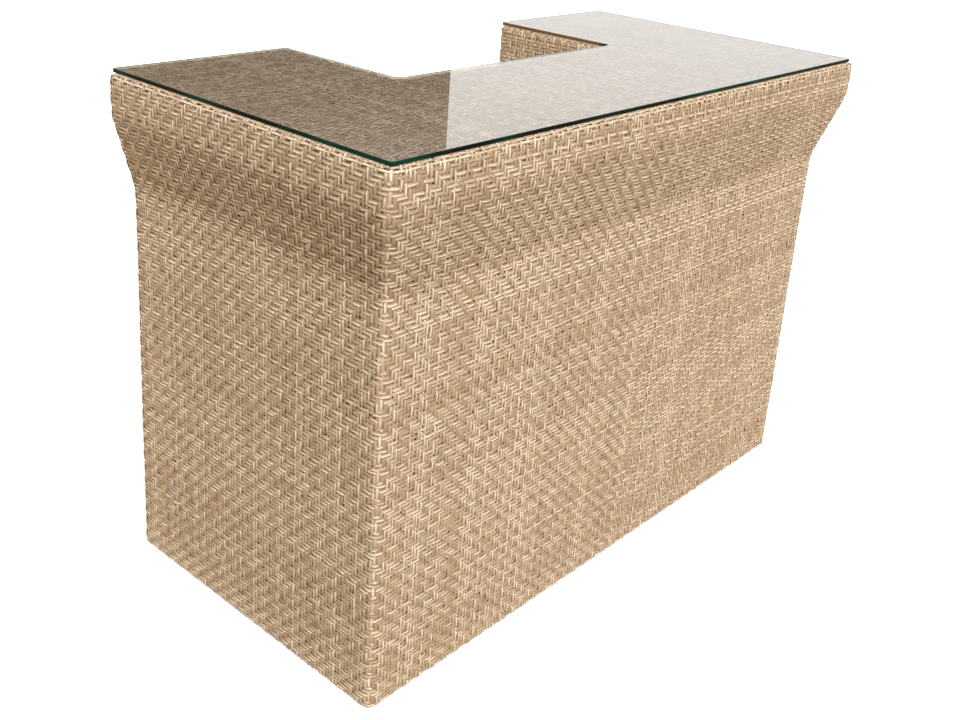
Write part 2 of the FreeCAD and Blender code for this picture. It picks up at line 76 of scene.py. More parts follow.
# One strand, in millimetres or in shares of the pitch.
SKIN = 4.0                  # thickness of the woven skin
MIDDLE = SKIN / 2           # its middle, under the outer face
SWING = 0.72                # of a strand above and below the middle
CROWN, BELLY = 1.3, 0.4     # of a strand's section above and below its edges
SHOULDER = 0.24             # share of the half width where the crown starts to fall
HALF_WIDTH = 0.487          # share of the pitch
SECTION = ((-1.0, 0.0), (-SHOULDER, CROWN), (SHOULDER, CROWN), (1.0, 0.0), (0.0, -BELLY))
EDGES = (0, 3)              # the section's points on a strand's two edges
CAPS = ((0, 1, 2, 3), (0, 3, 4))   # the section's points round the faces of a strand's end
FIRST, LAST = 1, 2          # marks of the rings at a strand's two ends

# How the strands differ.
WIDTH_SPREAD = 0.05         # share by which strands differ in width
DRIFT, WANDER = 0.09, 0.05  # share of the pitch by which strands, and their rings, lie aside of their place
WEFT_LIFT, WARP_LIFT = 0.28, 0.2   # how far some strands lie proud of the others
FLOAT_SPREAD = 0.24         # how far the floats of one strand differ in height
ROCK = 0.42                 # how far a strand's edges tip up and down along it
UNEVEN, DENTS = 0.3, 9      # depth of the soft dents of the skin, one way, and waves that make them up
RIM_ROWS, RIM_WIDTH_SHARE = 3, 0.91   # rows on the rolled rim, where the gaps between strands open
CORNER_REACH, RIM_REACH = 1.8, 1.5    # strands to each side that the painted highlight of a corner and the rim reaches
CORNER_WIDTH = 0.12         # share by which strands are wider on a corner

# How bright the painted highlight on a strand's ridge is, from 0 to 1, and what adds to it.
# painted highlight: stronger on proud strands, some floats and dents, weaker on uprights
RIDGE_SHEEN, WARP_SHEEN, PROUD_SHEEN, FLOAT_SHEEN, DENT_SHEEN = 0.54, -0.17, 0.24, 0.2, 0.06
CORNER_SHEEN, RIM_SHEEN, BAND_SHEEN = 0.16, 0.25, 0.08
WEFT_BANDS = ((0.29, 0.8), (0.113, 2.9))   # waves of painted highlight up the rows: angle of a row, and angle at the hem

# The strand map: kinds of strand side by side, and steps of painted highlight up each of them.
STRIPS, STRIP_EDGE = 40, 0.06   # kinds of strand, and share of a strip left free at each side
BANDS, BAND_EDGE = 16, 0.15     # steps of painted highlight, and share of a step left free below and above

# Small steps for the geometry.
BEND_STEPS, ROLL_STEPS = 24, 12   # points on a bend of the flare and on the roll of the rim
LEAST_RADIUS, LEAST_LENGTH = 0.4, 1e-6
RING_GAP = 0.02             # least share of the pitch from a ring to the end of its strand
NUDGE = 0.1                 # share of the pitch over which a surface's handedness is felt


def flare_profile():
    """Rows of distance along the outer face, out, height and normal, from the hem to the deck."""
    across, rise = 2 * FLARE_RADIUS - OVERHANG, FASCIA_BASE - FLARE_BASE
    lean = math.asin(2 * FLARE_RADIUS / math.hypot(rise, across)) - math.atan2(across, rise)
    bend, roll = np.linspace(0, lean, BEND_STEPS), np.linspace(0, math.pi / 2, ROLL_STEPS)
    bend_in, bend_up = FLARE_RADIUS * (1 - np.cos(bend)), FLARE_RADIUS * np.sin(bend)
    roll_in, roll_down = ROLL_RADIUS * (1 - np.cos(roll)), ROLL_RADIUS * (1 - np.sin(roll))
    hollow = np.stack([bend_in, FLARE_BASE + bend_up], 1)
    full = np.stack([OVERHANG - bend_in, FASCIA_BASE - bend_up], 1)
    over = np.stack([OVERHANG - roll_in, DECK_TOP - roll_down], 1)
    leaning = np.stack([np.cos(bend), -np.sin(bend)], 1)
    rolling = np.stack([np.cos(roll), np.sin(roll)], 1)
    hem, deck = [[0, SKIN_BASE]], [[OVERHANG - RIM_WIDTH, DECK_TOP]]
    places = np.concatenate([hem, hollow, full[::-1], over, deck])
    normals = np.concatenate([[[1, 0]], leaning, leaning[::-1], rolling, [[0, 1]]])
    along = np.concatenate([[0], np.cumsum(np.linalg.norm(np.diff(places, axis=0), axis=1))])
    return along, places, normals


ALONG, PLACES, NORMALS = flare_profile()
ROW_PITCH = ALONG[-1] / ROWS


def level(row):
    """Where the skin's middle lies at a row: its place on flared and upright sides, and both normals."""
    v = row * ROW_PITCH
    out, z = (np.interp(v, ALONG, PLACES[:, k]) for k in (0, 1))
    flare_h, flare_z = (np.interp(v, ALONG, NORMALS[:, k]) for k in (0, 1))
    on_roll = z > DECK_TOP - ROLL_RADIUS
    upright_h, upright_z = np.where(on_roll, flare_h, 1.0), np.where(on_roll, flare_z, 0.0)
    inset = np.where(on_roll, OVERHANG - out, 0.0)
    return {
        "out": out - MIDDLE * flare_h, "up": -inset - MIDDLE * upright_h, "z": z - MIDDLE * flare_z,
        "flare": (flare_h, flare_z), "upright": (upright_h, upright_z),
        "corner": np.maximum(CORNER_RADIUS - inset - MIDDLE * upright_h, LEAST_RADIUS),
        "hollow": CONCAVE_RADIUS + inset + MIDDLE * upright_h,
    }


def spread(row):
    """A row's place up the skin, once the rows lie closer at the hem and wider at the rim."""
    return row * (1.0 - ROW_TREND + ROW_TREND * row / ROWS)


def arc(x, y, radius, start, end, outward=1, flared=(1, 1)):
    """A turn of a walk round the bar, in plan: its length and its point, facing and flare at a share."""
    start, end = math.radians(start), math.radians(end)

    def at(share):
        angle = start + (end - start) * share
        facing = angle if outward > 0 else angle + math.pi
        lean = np.clip(flared[0] + (flared[1] - flared[0]) * share, 0, 1)
        return x + radius * np.cos(angle), y + radius * np.sin(angle), facing, lean

    return radius * abs(end - start), at


def line(x0, y0, x1, y1, facing, flared=1):
    """A straight run of a walk round the bar, in plan."""
    facing = math.radians(facing)

    def at(share):
        still = np.zeros_like(share)
        return x0 + (x1 - x0) * share, y0 + (y1 - y0) * share, facing + still, flared + still

    return np.maximum(np.hypot(x1 - x0, y1 - y0), LEAST_LENGTH), at


def front_walk(m):
    """Along the front, from the middle of its left corner to the middle of its right one."""
    x, y, r = WALL_X + m["out"], WALL_Y - m["out"], m["corner"]
    return [arc(r - x, y + r, r, 225, 270), line(r - x, y, x - r, y, 270), arc(x - r, y + r, r, 270, 315)]


def end_walk(m):
    """Along the left end, from the middle of its front corner to where the back's skin starts."""
    x, y, r = WALL_X + m["out"], WALL_Y - m["out"], m["corner"]
    return [arc(r - x, y + r, r, 225, 180), line(-x, y + r, -x, SPLIT_Y + 0 * x, 180)]


def back_walk(m):
    """Round the back of the left wing, which loses its flare on the outer corner."""
    x, y, gap, r = WALL_X + m["out"], BACK_Y + m["up"], GAP_X - m["up"], m["corner"]
    return [
        line(-x, SPLIT_Y + 0 * x, -x, y - r, 180), arc(r - x, y - r, r, 180, 90, flared=(1, 0)),
        line(r - x, y, -gap - r, y, 90, 0), arc(-gap - r, y - r, r, 90, 0, flared=(0, 0)),
        line(-gap, y - r, -gap, SPLIT_Y + 0 * x, 0, 0),
    ]


def inner_walk(m):
    """Along the inner side of the left wing, to the end of its turn into the counter."""
    gap, y, r = GAP_X - m["up"], GAP_Y + m["up"], m["hollow"]
    return [line(-gap, SPLIT_Y + 0 * y, -gap, y + r, 0, 0), arc(r - gap, y + r, r, 180, 270, -1, (0, 0))]


def apron_walk(m):
    """Along the back of the counter, over the shelf bay."""
    y = GAP_Y + m["up"]
    return [line(-BAY_X + 0 * y, y, BAY_X + 0 * y, y, 90, 0)]


def round_the_bar(walk, first, last, side=1):
    """A surface over a walk's columns first to last, by column and row. Side -1 mirrors it."""

    def surface(column, row):
        m = level(spread(row))
        runs = walk(m)
        left = (column - first) / (last - first) * sum(length for length, at in runs)
        x, y, facing, lean = (np.zeros_like(left) for k in range(4))
        for k, (length, at) in enumerate(runs):
            here = np.ones(left.shape, bool) if k == 0 else left >= 0
            for found, new in zip((x, y, facing, lean), at(left / length)):
                found[here] = np.broadcast_to(new, left.shape)[here]
            left = left - length
        flat = lean * m["flare"][0] + (1 - lean) * m["upright"][0]
        rise = lean * m["flare"][1] + (1 - lean) * m["upright"][1]
        places = np.stack([side * x, y, m["z"]], -1)
        normals = np.stack([side * flat * np.cos(facing), flat * np.sin(facing), rise], -1)
        return places, normals / np.linalg.norm(normals, axis=-1, keepdims=True)

    return surface


def flat_panel(origin, across, up, normal):
    """A flat surface as a function of column and row, from a corner and its two steps."""
    origin, across, up, normal = (np.array(v, float) for v in (origin, across, up, normal))

    def surface(column, row):
        places = origin + column[..., None] * across + row[..., None] * up
        return places, np.broadcast_to(normal, places.shape)

    return surface


def shelf_sleeve(top, columns, rows):
    """A shelf's woven sleeve: over the top from the back, round the front edge and back underneath."""
    deep = SHELF_FRONT - SHELF_BACK - SHELF_TURN - MIDDLE
    thick = SHELF_THICKNESS - 2 * (SHELF_TURN + MIDDLE)
    bend = SHELF_TURN * math.pi / 2
    stops = np.cumsum([0, deep, bend, thick, bend, deep])
    front, upper = SHELF_FRONT - MIDDLE - SHELF_TURN, top - MIDDLE - SHELF_TURN
    lower = top - SHELF_THICKNESS + MIDDLE + SHELF_TURN

    def surface(column, row):
        d = row / rows * stops[-1]
        first = np.clip((d - stops[1]) / bend, 0, 1) * math.pi / 2
        second = np.clip((d - stops[3]) / bend, 0, 1) * math.pi / 2
        angle = math.pi / 2 - first - second
        run = np.where(d < stops[1], d - stops[1], 0) + np.where(d > stops[4], stops[4] - d, 0)
        drop = np.clip((d - stops[2]) / thick, 0, 1)
        y = front + run + SHELF_TURN * np.cos(angle)
        z = upper + (lower - upper) * drop + SHELF_TURN * np.sin(angle)
        x = -SHELF_HALF + 2 * SHELF_HALF * (column + 0.5) / columns
        flat = np.zeros_like(x)
        return np.stack([x, y, z], -1), np.stack([flat, np.cos(angle), np.sin(angle)], -1)

    return surface


WAVES = [(*rng.uniform(-1, 1, 2), rng.uniform(0, 2 * math.pi)) for k in range(DENTS)]


def unevenness(columns, rows):
    """How far hand weaving leaves the skin off its true face, in soft dents a few strands wide."""
    total = np.zeros(len(columns))
    for across, up, start in WAVES:
        total += np.sin(across * columns + up * rows + start)
    return UNEVEN * total / math.sqrt(DENTS)


def same(columns):
    """The columns' numbers in a twill that leans one way."""
    return columns


def turned_twill(columns):
    """The columns' numbers in a twill that leans the other way past the middle of the front."""
    return TWILL_TURN - abs(columns - TWILL_TURN)


def strand_rings(low, high, gaps, over):
    """Places along a strand from low to high, and how far it swings out at each, for a row of gaps."""
    turns = [(gap, before, after) for gap, before, after in zip(gaps, over[:-1], over[1:]) if before != after]
    places, swings = [], []
    for gap, before, after in turns:
        for place, state in ((gap - CROSSING, before), (gap + CROSSING, after)):
            places.append(place)
            swings.append(SWING if state else -SWING)
    places, swings = np.array(places or [low]), np.array(swings or [SWING if over[0] else -SWING])
    inside = (places > low + RING_GAP) & (places < high - RING_GAP)
    kept = np.concatenate([[low], places[inside], [high]])
    swings = np.interp(kept, places, swings)
    return kept, swings + rng.normal(0, FLOAT_SPREAD, len(kept))


def strand_faces(ends, turned):
    """The side faces of all the strands, and then the faces that close their ends, as arrays of points."""
    count = len(SECTION)
    start = np.flatnonzero(ends != LAST)
    first, second = start[:, None] * count, (start[:, None] + 1) * count
    here = np.arange(count)
    after = (here + 1) % count
    sides = np.stack([first + here, second + here, second + after, first + after], -1)
    sides[turned[start]] = sides[turned[start]][:, :, ::-1]
    faces = [sides.reshape(-1, 4)]
    for end, forward in ((FIRST, True), (LAST, False)):
        at = np.flatnonzero(ends == end)
        flip = turned[at] == forward
        for corners in CAPS:
            cap = at[:, None] * count + np.array(corners)
            cap[flip] = cap[flip][:, ::-1]
            faces.append(cap)
    return faces


class Weave:
    """Strands of one woven piece, gathered ring by ring and then made into one mesh."""

    def __init__(self, surface, corners=(), rim=None):
        self.surface, self.corners, self.rim = surface, corners, rim
        self.rings = []

    def weft(self, row, low, high, key=same):
        """A strand along a row, from column low to high. key numbers the columns for the twill."""
        columns = np.arange(math.ceil(low - 0.5), math.floor(high + 0.5) + 1)
        over = (key(columns) + row) % TWILL_REPEAT < FLOAT_LENGTH
        places, swings = strand_rings(low, high, columns[:-1] + 0.5, over)
        self.add(places, np.full(len(places), row + 0.5), swings, 0)

    def warp(self, column, low, high, key=same):
        """A strand up a column, from row low to high."""
        rows = np.arange(math.floor(low), math.ceil(high))
        over = (key(np.array([column])) + rows) % TWILL_REPEAT >= FLOAT_LENGTH
        places, swings = strand_rings(low, high, rows[:-1] + 1.0, over)
        self.add(np.full(len(places), float(column)), places, swings, 1)

    def wefts(self, rows, low, high, key=same):
        """A strand along each of the rows."""
        for row in rows:
            self.weft(row, low, high, key)

    def warps(self, columns, low, high, key=same):
        """A strand up each of the columns."""
        for column in columns:
            self.warp(column, low, high, key)

    def add(self, columns, rows, swings, upright):
        """Draws what sets one strand apart from the others, and keeps its rings."""
        count = len(columns)
        drift = rng.normal(0, WANDER, count) + rng.normal(0, DRIFT)
        strip, proud = rng.integers(STRIPS), rng.normal(0, 1)
        width = np.full(count, 1.0 + rng.normal(0, WIDTH_SPREAD))
        floats = rng.normal(0, 1, count // 2 + 1)[np.arange(count) // 2]
        dents = unevenness(columns, rows) / UNEVEN
        # The ridge's painted highlight: stronger on proud strands, some floats and the dents, weaker on
        # uprights.
        sheen = RIDGE_SHEEN + WARP_SHEEN * upright + PROUD_SHEEN * proud + FLOAT_SHEEN * floats + DENT_SHEEN * dents
        # More painted highlight, and wider strands, near each corner.
        for corner in self.corners:
            near = np.exp(-((columns - corner) / CORNER_REACH) ** 2)
            sheen, width = sheen + CORNER_SHEEN * near, width + CORNER_WIDTH * near
        # More painted highlight near the rim and in waves up the rows; the rim's strands are narrower.
        if self.rim:
            near = np.exp(-((rows - self.rim) / RIM_REACH) ** 2)
            bands = sum(np.sin(turn * rows + start) for turn, start in WEFT_BANDS)
            sheen = sheen + RIM_SHEEN * near + BAND_SHEEN * (1 - upright) * bands
            on_rim = (upright == 0) & (rows > self.rim - RIM_ROWS / 2)
            width = np.where(on_rim, RIM_WIDTH_SHARE, width)
        band = np.clip(np.floor(sheen * BANDS), 0, BANDS - 1)
        run = (band + BAND_EDGE + (1 - 2 * BAND_EDGE) * (np.arange(count) % 2)) / BANDS
        ends = np.zeros(count, int)
        ends[0], ends[-1] = FIRST, LAST
        lift = WARP_LIFT if upright else WEFT_LIFT
        self.rings.append((columns + drift * upright, rows + drift * (1 - upright), swings + lift * proud,
                           np.full(count, upright), ends, np.full(count, strip), run, width))

    def sections(self, columns, rows, swings, upright, width):
        """The points round each ring's section."""
        swings = swings + unevenness(columns, rows)
        rock = rng.normal(0, ROCK, len(columns))
        points = []
        for share, height in SECTION:
            step = share * HALF_WIDTH * width
            place, facing = self.surface(columns + step * upright, rows + step * (1 - upright))
            points.append(place + facing * (swings + height + share * rock)[:, None])
        return np.stack(points, 1)

    def turned(self, columns, rows, upright):
        """Whether the faces at each ring have to run the other way to face out."""
        centre, normal = self.surface(columns, rows)
        aside = self.surface(columns + NUDGE, rows)[0] - centre
        above = self.surface(columns, rows + NUDGE)[0] - centre
        handed = np.einsum("ij,ij->i", np.cross(aside, above), normal) > 0
        return handed == (upright == 1)

    def mesh(self, name):
        """One mesh of all the strands, sharp along their edges, with its strand map."""
        parts = [np.concatenate(part) for part in zip(*self.rings)]
        columns, rows, swings, upright, ends, strip, run, width = parts
        points = self.sections(columns, rows, swings, upright, width)
        faces = strand_faces(ends, self.turned(columns, rows, upright))
        loops = np.concatenate([face.ravel() for face in faces])
        sizes = np.concatenate([np.full(len(face), face.shape[1]) for face in faces])
        starts = np.concatenate([[0], np.cumsum(sizes)[:-1]])

        across = np.array([(1 + share) / 2 for share, height in SECTION])
        u = (strip[:, None] + STRIP_EDGE + (1 - 2 * STRIP_EDGE) * across) / STRIPS
        strand_map = np.stack([u, np.broadcast_to(run[:, None], u.shape)], -1).reshape(-1, 2)

        made = bpy.data.meshes.new(name)
        made.vertices.add(len(points) * len(SECTION))
        made.vertices.foreach_set("co", (points * MM).astype(np.float32).ravel())
        made.loops.add(len(loops))
        made.loops.foreach_set("vertex_index", loops.astype(np.int32))
        made.polygons.add(len(sizes))
        made.polygons.foreach_set("loop_start", starts.astype(np.int32))
        made.polygons.foreach_set("use_smooth", np.arange(len(sizes)) < len(faces[0]))
        layer = made.uv_layers.new(name="OFBake")
        layer.uv.foreach_set("vector", strand_map[loops].astype(np.float32).ravel())
        made.update(calc_edges=True)

        pairs = np.empty(2 * len(made.edges), np.int32)
        made.edges.foreach_get("vertices", pairs)
        around = pairs.reshape(-1, 2) % len(SECTION)
        sharp = (around[:, 0] == around[:, 1]) & np.isin(around[:, 0], EDGES)
        made.attributes.new("sharp_edge", "BOOLEAN", "EDGE").data.foreach_set("value", sharp)
        made.validate()
        return made


def woven_piece(name, weaves, material, nodes):
    """One object from one or more weaves, which rides on the bar and stands for its CAD nodes."""
    meshes = [weave.mesh(name) for weave in weaves]
    piece = bpy.data.objects.new(name, meshes[0])
    bpy.context.scene.collection.objects.link(piece)
    if len(meshes) > 1:
        others = []
        for mesh in meshes[1:]:
            other = bpy.data.objects.new(name + "_more", mesh)
            bpy.context.scene.collection.objects.link(other)
            others.append(other)
        with bpy.context.temp_override(active_object=piece, selected_editable_objects=[piece] + others):
            bpy.ops.object.join()
    piece.data.materials.clear()
    piece.data.materials.append(material)
    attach(piece, "bar")
    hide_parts(*nodes)


class Shade:
    """A shader socket that takes Python's operators, and makes nodes in its tree."""

    def __init__(self, tree, socket=None):
        self.tree, self.socket = tree, socket

    def make(self, kind, settings=None, values=None, out=0):
        """A new node: its settings first, then the values or links of its sockets."""
        node = self.tree.nodes.new("ShaderNode" + kind)
        for name, value in (settings or {}).items():
            setattr(node, name, value)
        for name, value in (values or {}).items():
            if isinstance(value, Shade):
                self.tree.links.new(value.socket, node.inputs[name])
            else:
                node.inputs[name].default_value = value
        return Shade(self.tree, node.outputs[out]) if node.outputs else None

    def maths(self, operation, other=0.0):
        """A Math node on this value and, where the operation takes two, on another."""
        return self.make("Math", {"operation": operation}, {0: self, 1: other})

    def __add__(self, other):
        return self.maths("ADD", other)

    def __sub__(self, other):
        return self.maths("SUBTRACT", other)

    def __rsub__(self, other):
        return self.make("Math", {"operation": "SUBTRACT"}, {0: other, 1: self})

    def __mul__(self, other):
        return self.maths("MULTIPLY", other)

    __radd__, __rmul__ = __add__, __mul__

    def size(self):
        """This value without its sign."""
        return self.maths("ABSOLUTE")

    def most(self, other):
        """The larger of this value and another."""
        return self.maths("MAXIMUM", other)

    def part(self, axis):
        """One part of this vector: 0, 1 or 2 for X, Y or Z."""
        return self.make("SeparateXYZ", {}, {"Vector": self}, out=axis)

    def step(self, low, high, to_low=0.0, to_high=1.0):
        """A smooth step from low to high."""
        limits = {"From Min": low, "From Max": high, "To Min": to_low, "To Max": to_high}
        return self.make("MapRange", {"interpolation_type": "SMOOTHSTEP"}, {"Value": self, **limits})

    def fall(self, low, high):
        """A smooth step down from low to high."""
        return self.step(low, high, 1.0, 0.0)

    def mix(self, first, second):
        """A colour that goes from first to second as this value goes from 0 to 1."""
        return self.make("Mix", {"data_type": "RGBA"}, {"Factor": self, 6: first, 7: second}, out=2)

    def noise(self, scale, detail=2.0, roughness=0.5):
        """Soft noise, 0 to 1, over this vector."""
        values = {"Vector": self, "Scale": scale, "Detail": detail, "Roughness": roughness}
        return self.make("TexNoise", {}, values)


def colour(red, green, blue):
    """A colour written as it looks on screen, 0 to 255, as the linear numbers that shaders take."""
    def linear(x):
        x /= 255
        return x / 12.92 if x <= 0.04045 else ((x + 0.055) / 1.055) ** 2.4
    return (linear(red), linear(green), linear(blue), 1.0)


def grey(tone):
    """A black, grey or white in the linear numbers that shaders take."""
    return (tone, tone, tone, 1.0)


def new_material(name):
    """An empty material, and the maker of its nodes."""
    material = bpy.data.materials.new(name)
    material.use_nodes = True
    material.node_tree.nodes.clear()
    return material, Shade(material.node_tree)


def show(shade, surface):
    """Ends a material with its surface."""
    shade.make("OutputMaterial", {}, {"Surface": surface})


# Tones across a strand, by the distance from its middle, which is 0.5 at the edges of its strip.
RIDGE_TOP = 0.03                 # where the painted highlight on the ridge is brightest
EDGE_START, EDGE_END = 0.27, 0.44
# painted shade in the gaps between strands: how much of it, and its dark brown
EDGE_SHARE, EDGE_SHADE = 0.6, colour(92, 61, 33)
STREAKS_ACROSS, STREAKS_ALONG = 9.0, 30.0   # fineness of the streaks over a strip and over the wear


def strand_material(name, gloss, dull, full, highlight_tone, ridge_edge):
    """Flat synthetic wicker: a tone for each kind of strand, fine streaks, a painted highlight along the
    ridge and painted shade at the edges.
    """
    material, shade = new_material(name)
    place = shade.make("UVMap", {"uv_map": "OFBake"})
    strips, sheen = place.part(0) * STRIPS, place.part(1)
    kind = strips.maths("FLOOR")
    tone = shade.make("TexWhiteNoise", {"noise_dimensions": "1D"}, {"W": kind})
    finest = shade.make("CombineXYZ", {}, {"X": strips * STREAKS_ACROSS, "Y": sheen * STREAKS_ALONG})
    streaks = finest.noise(scale=1.0, detail=3.0, roughness=0.6)
    aside = (strips - kind - 0.5).size()
    # ridge is where the painted highlight lies, edge where the painted shade of the gaps lies
    ridge, edge = aside.fall(RIDGE_TOP, ridge_edge), aside.step(EDGE_START, EDGE_END)
    body = (tone * 0.5 + streaks * 0.5).mix(dull, full)
    highlit = (ridge * sheen.step(0.1, 1.0)).mix(body, highlight_tone)
    # painted shade at the strand's edges, for the gaps between strands
    highlit_and_shaded = (edge * EDGE_SHARE).mix(highlit, EDGE_SHADE)
    bumps = shade.make("Bump", {}, {"Strength": 0.25, "Distance": 0.0004, "Height": streaks})
    show(shade, shade.make("BsdfPrincipled", {}, {
        "Base Color": highlit_and_shaded, "Roughness": 0.34 + streaks * 0.2, "Normal": bumps, "Specular IOR Level": gloss}))
    return material


def coat_material(name, low, high, rough, grain):
    """Powder coat or moulded plastic: two close tones, a fine grain and worn patches in its gloss."""
    material, shade = new_material(name)
    place = shade.make("TexCoord", out="Object")
    clouds, speckle = place.noise(scale=18.0, detail=4.0), place.noise(scale=grain)
    body = (clouds * 0.7 + speckle * 0.3).mix(low, high)
    bumps = shade.make("Bump", {}, {"Strength": 0.2, "Distance": 0.0005, "Height": speckle})
    show(shade, shade.make("BsdfPrincipled", {}, {
        "Base Color": body, "Roughness": rough + clouds * 0.2, "Normal": bumps}))
    return material


def lamps_through(shade, surface, tint):
    """A clear surface that lamps and soft light pass through."""
    shadow = shade.make("LightPath", out="Is Shadow Ray")
    soft = shade.make("LightPath", out="Is Diffuse Ray")
    clear = shade.make("BsdfTransparent", {}, {"Color": tint})
    return shade.make("MixShader", {}, {0: shadow.most(soft), 1: surface, 2: clear})


def glass_material():
    """Clear sheet glass that lamps shine through, with polished edges: dark green with painted glints, and
    painted brown for the deck seen through the notch and through the edges from inside.
    """
    material, shade = new_material("sheet_glass")
    up = shade.make("NewGeometry", out="Normal").part(2)
    face = up.size().step(0.5, 0.95)
    sheet = shade.make("BsdfPrincipled", {}, {
        "Base Color": colour(248, 250, 248), "Roughness": 0.0, "IOR": 1.5, "Transmission Weight": 1.0})
    place = shade.make("TexCoord", out="Object")
    # dark green, with soft patches of painted glints
    green = place.noise(6.0).step(0.4, 0.75).mix(colour(1, 12, 9), colour(0, 62, 46))
    # the notch's edge is painted brown, for the deck seen through it
    notch = place.part(0).size().fall(0.36, 0.37) * place.part(1).step(0.05, 0.08)
    outside = notch.mix(green, colour(112, 88, 58))
    # the edges' inner faces are painted brown, for the deck seen through them
    inside = shade.make("NewGeometry", out="Backfacing")
    edge = shade.make("BsdfPrincipled", {}, {
        "Base Color": inside.mix(outside, colour(84, 66, 50)), "Roughness": 0.22, "Specular IOR Level": 0.12})
    pane = shade.make("MixShader", {}, {0: face, 1: edge, 2: sheet})
    show(shade, lamps_through(shade, pane, (0.86, 0.87, 0.86, 1.0)))
    return material


def pad_material():
    """Clear silicone pads, which show little more than the weave under them."""
    material, shade = new_material("clear_silicone")
    clouds = shade.make("TexCoord", out="Object").noise(60.0)
    skin = shade.make("BsdfPrincipled", {}, {
        "Base Color": clouds.mix(colour(214, 208, 198), colour(230, 226, 218)), "Roughness": 0.35})
    clear = shade.make("BsdfTransparent", {}, {"Color": (0.95, 0.95, 0.94, 1.0)})
    show(shade, shade.make("MixShader", {}, {0: 0.12, 1: clear, 2: skin}))
    return material


strand = strand_material("wicker_strand", gloss=0.25, dull=colour(153, 128, 99), full=colour(194, 169, 139),
                         highlight_tone=colour(251, 232, 204), ridge_edge=0.21)
# A darker copy of the wicker for the deck under the glass: painted shade.
shaded_deck_strand = strand_material("shaded_deck_strand", gloss=0.0, dull=colour(145, 115, 86), full=colour(187, 156, 124),
                              highlight_tone=colour(232, 210, 181), ridge_edge=0.34)


def weave_front():
    """The front, in two pieces of rows and two of columns, which are numbered from its left corner."""
    front = round_the_bar(front_walk, 0, FRONT_COLUMNS)
    corners = (0, FRONT_COLUMNS)
    for part in (0, 1):
        weave = Weave(front, corners, RIM_ROW)
        weave.wefts(range(part, ROWS, 2), 0.0, float(FRONT_COLUMNS), turned_twill)
        woven_piece(f"front_weft_{part + 1}", [weave], strand, ["front_skin"])
        weave = Weave(front, corners, RIM_ROW)
        weave.warps(range(part, FRONT_COLUMNS + 1, 2), HEM_GAP, float(ROWS), turned_twill)
        woven_piece(f"front_warp_{part + 1}", [weave], strand, ["front_skin"])


def weave_wing(side, name):
    """The end, the back and the inner side of a wing. Their columns run on from the front's corner."""
    end_last = round(END_RUN / TARGET_PITCH) + 0.5
    back_last = end_last + round(BACK_RUN / TARGET_PITCH)
    inner_last = back_last + round(INNER_RUN / TARGET_PITCH)

    def key(columns):
        """The columns' numbers in the twill, which runs on from the front."""
        return columns if side > 0 else turned_twill(FRONT_COLUMNS) + columns

    end = round_the_bar(end_walk, 0, end_last, side)
    weave = Weave(end, (0,), RIM_ROW)
    weave.wefts(range(ROWS), 0.0, end_last, key)
    woven_piece(f"{name}_end_weft", [weave], strand, [f"{name}_end_skin"])
    weave = Weave(end, (0,), RIM_ROW)
    weave.warps(range(1, math.ceil(end_last)), HEM_GAP, float(ROWS), key)
    woven_piece(f"{name}_end_warp", [weave], strand, [f"{name}_end_skin"])

    bends = (end_last + BEND_COLUMNS, back_last - BEND_COLUMNS)
    for part, walk, first, last, corners in (("back", back_walk, end_last, back_last, bends),
                                             ("inner", inner_walk, back_last, inner_last, ())):
        weave = Weave(round_the_bar(walk, first, last, side), corners, RIM_ROW)
        weave.wefts(range(ROWS), first, last, key)
        weave.warps(range(math.ceil(first), math.ceil(last)), HEM_GAP, float(ROWS), key)
        woven_piece(f"{name}_{part}_weave", [weave], strand, [f"{name}_{part}_skin"])


def weave_apron():
    """The apron at the back of the counter, from the row nearest its lower edge."""
    columns = round(2 * BAY_X / TARGET_PITCH)
    lowest = int(np.argmin(abs(level(spread(np.arange(ROWS)))["z"] - APRON_BASE)))
    weave = Weave(round_the_bar(apron_walk, -0.5, columns - 0.5), (), RIM_ROW)
    weave.wefts(range(lowest, ROWS), -0.5, columns - 0.5)
    weave.warps(range(columns), float(lowest), float(ROWS))
    woven_piece("apron_weave", [weave], strand, ["counter_apron"])


def weave_deck():
    """The woven deck under the glass: a U, so its strands have their own ends."""
    half, front, back = WALL_X + OVERHANG - RIM_WIDTH, WALL_Y - OVERHANG + RIM_WIDTH, SPLIT_Y
    turn, turn_x, turn_y = CONCAVE_RADIUS + RIM_WIDTH, GAP_X - CONCAVE_RADIUS, GAP_Y + CONCAVE_RADIUS

    def notch_half(y):
        return turn_x + math.sqrt(turn ** 2 - min(max(turn_y - y, 0), turn) ** 2)

    def notch_stop(x):
        return turn_y - math.sqrt(turn ** 2 - min(max(abs(x) - turn_x, 0), turn) ** 2)

    columns, rows = round(2 * half / TARGET_PITCH), round((back - front) / TARGET_PITCH)
    wide, deep = 2 * half / columns, (back - front) / rows
    surface = flat_panel((wide / 2 - half, front, DECK_TOP - MIDDLE), (wide, 0, 0), (0, deep, 0), (0, 0, 1))
    lengthwise, crosswise = Weave(surface), Weave(surface)
    for row in range(rows):
        y = front + (row + 0.5) * deep
        if y < turn_y - turn:
            lengthwise.weft(row, -0.5, columns - 0.5)
        else:
            left, right = ((x + half) / wide - 0.5 for x in (-notch_half(y), notch_half(y)))
            lengthwise.weft(row, -0.5, left)
            lengthwise.weft(row, right, columns - 0.5)
    for column in range(columns):
        x = (column + 0.5) * wide - half
        at_notch = abs(x) < turn_x + turn
        crosswise.warp(column, 0.0, (notch_stop(x) - front) / deep if at_notch else float(rows))
    woven_piece("deck_weft", [lengthwise], shaded_deck_strand, ["top_deck"])
    woven_piece("deck_warp", [crosswise], shaded_deck_strand, ["top_deck"])


